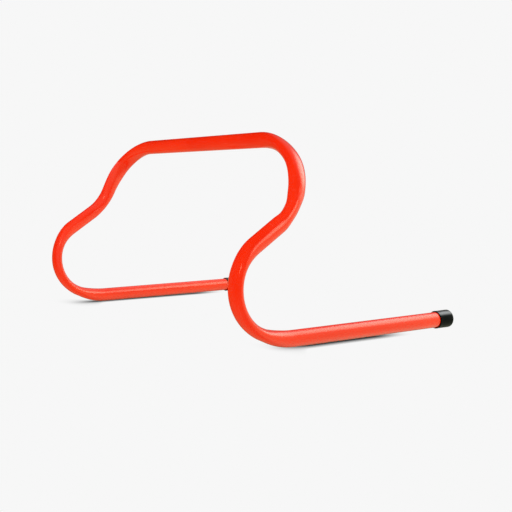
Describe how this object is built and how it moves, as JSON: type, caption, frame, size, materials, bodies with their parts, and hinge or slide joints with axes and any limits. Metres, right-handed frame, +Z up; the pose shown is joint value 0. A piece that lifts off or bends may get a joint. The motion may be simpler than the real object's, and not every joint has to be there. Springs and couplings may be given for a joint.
{
  "type": "speed hurdle",
  "caption": "Low training hurdle bent from a length of round tube: a straight crossbar, sloping shoulders, rounded back bends and long feet with push-on end caps.",
  "frame": {"origin": "on the floor, under the middle of the hurdle's overall box", "axes": "+X along the crossbar, +Y the way the feet point, +Z up"},
  "size_m": [0.6592, 0.4274, 0.3155],
  "materials": {
    "red_tube": "satin gloss, extruded",
    "black_cap": "satin, dip-moulded soft vinyl"
  },
  "bodies": {
    "root": {"tube": "red_tube", "cap_right": "black_cap", "cap_left": "black_cap"}
  },
  "joints": []
}
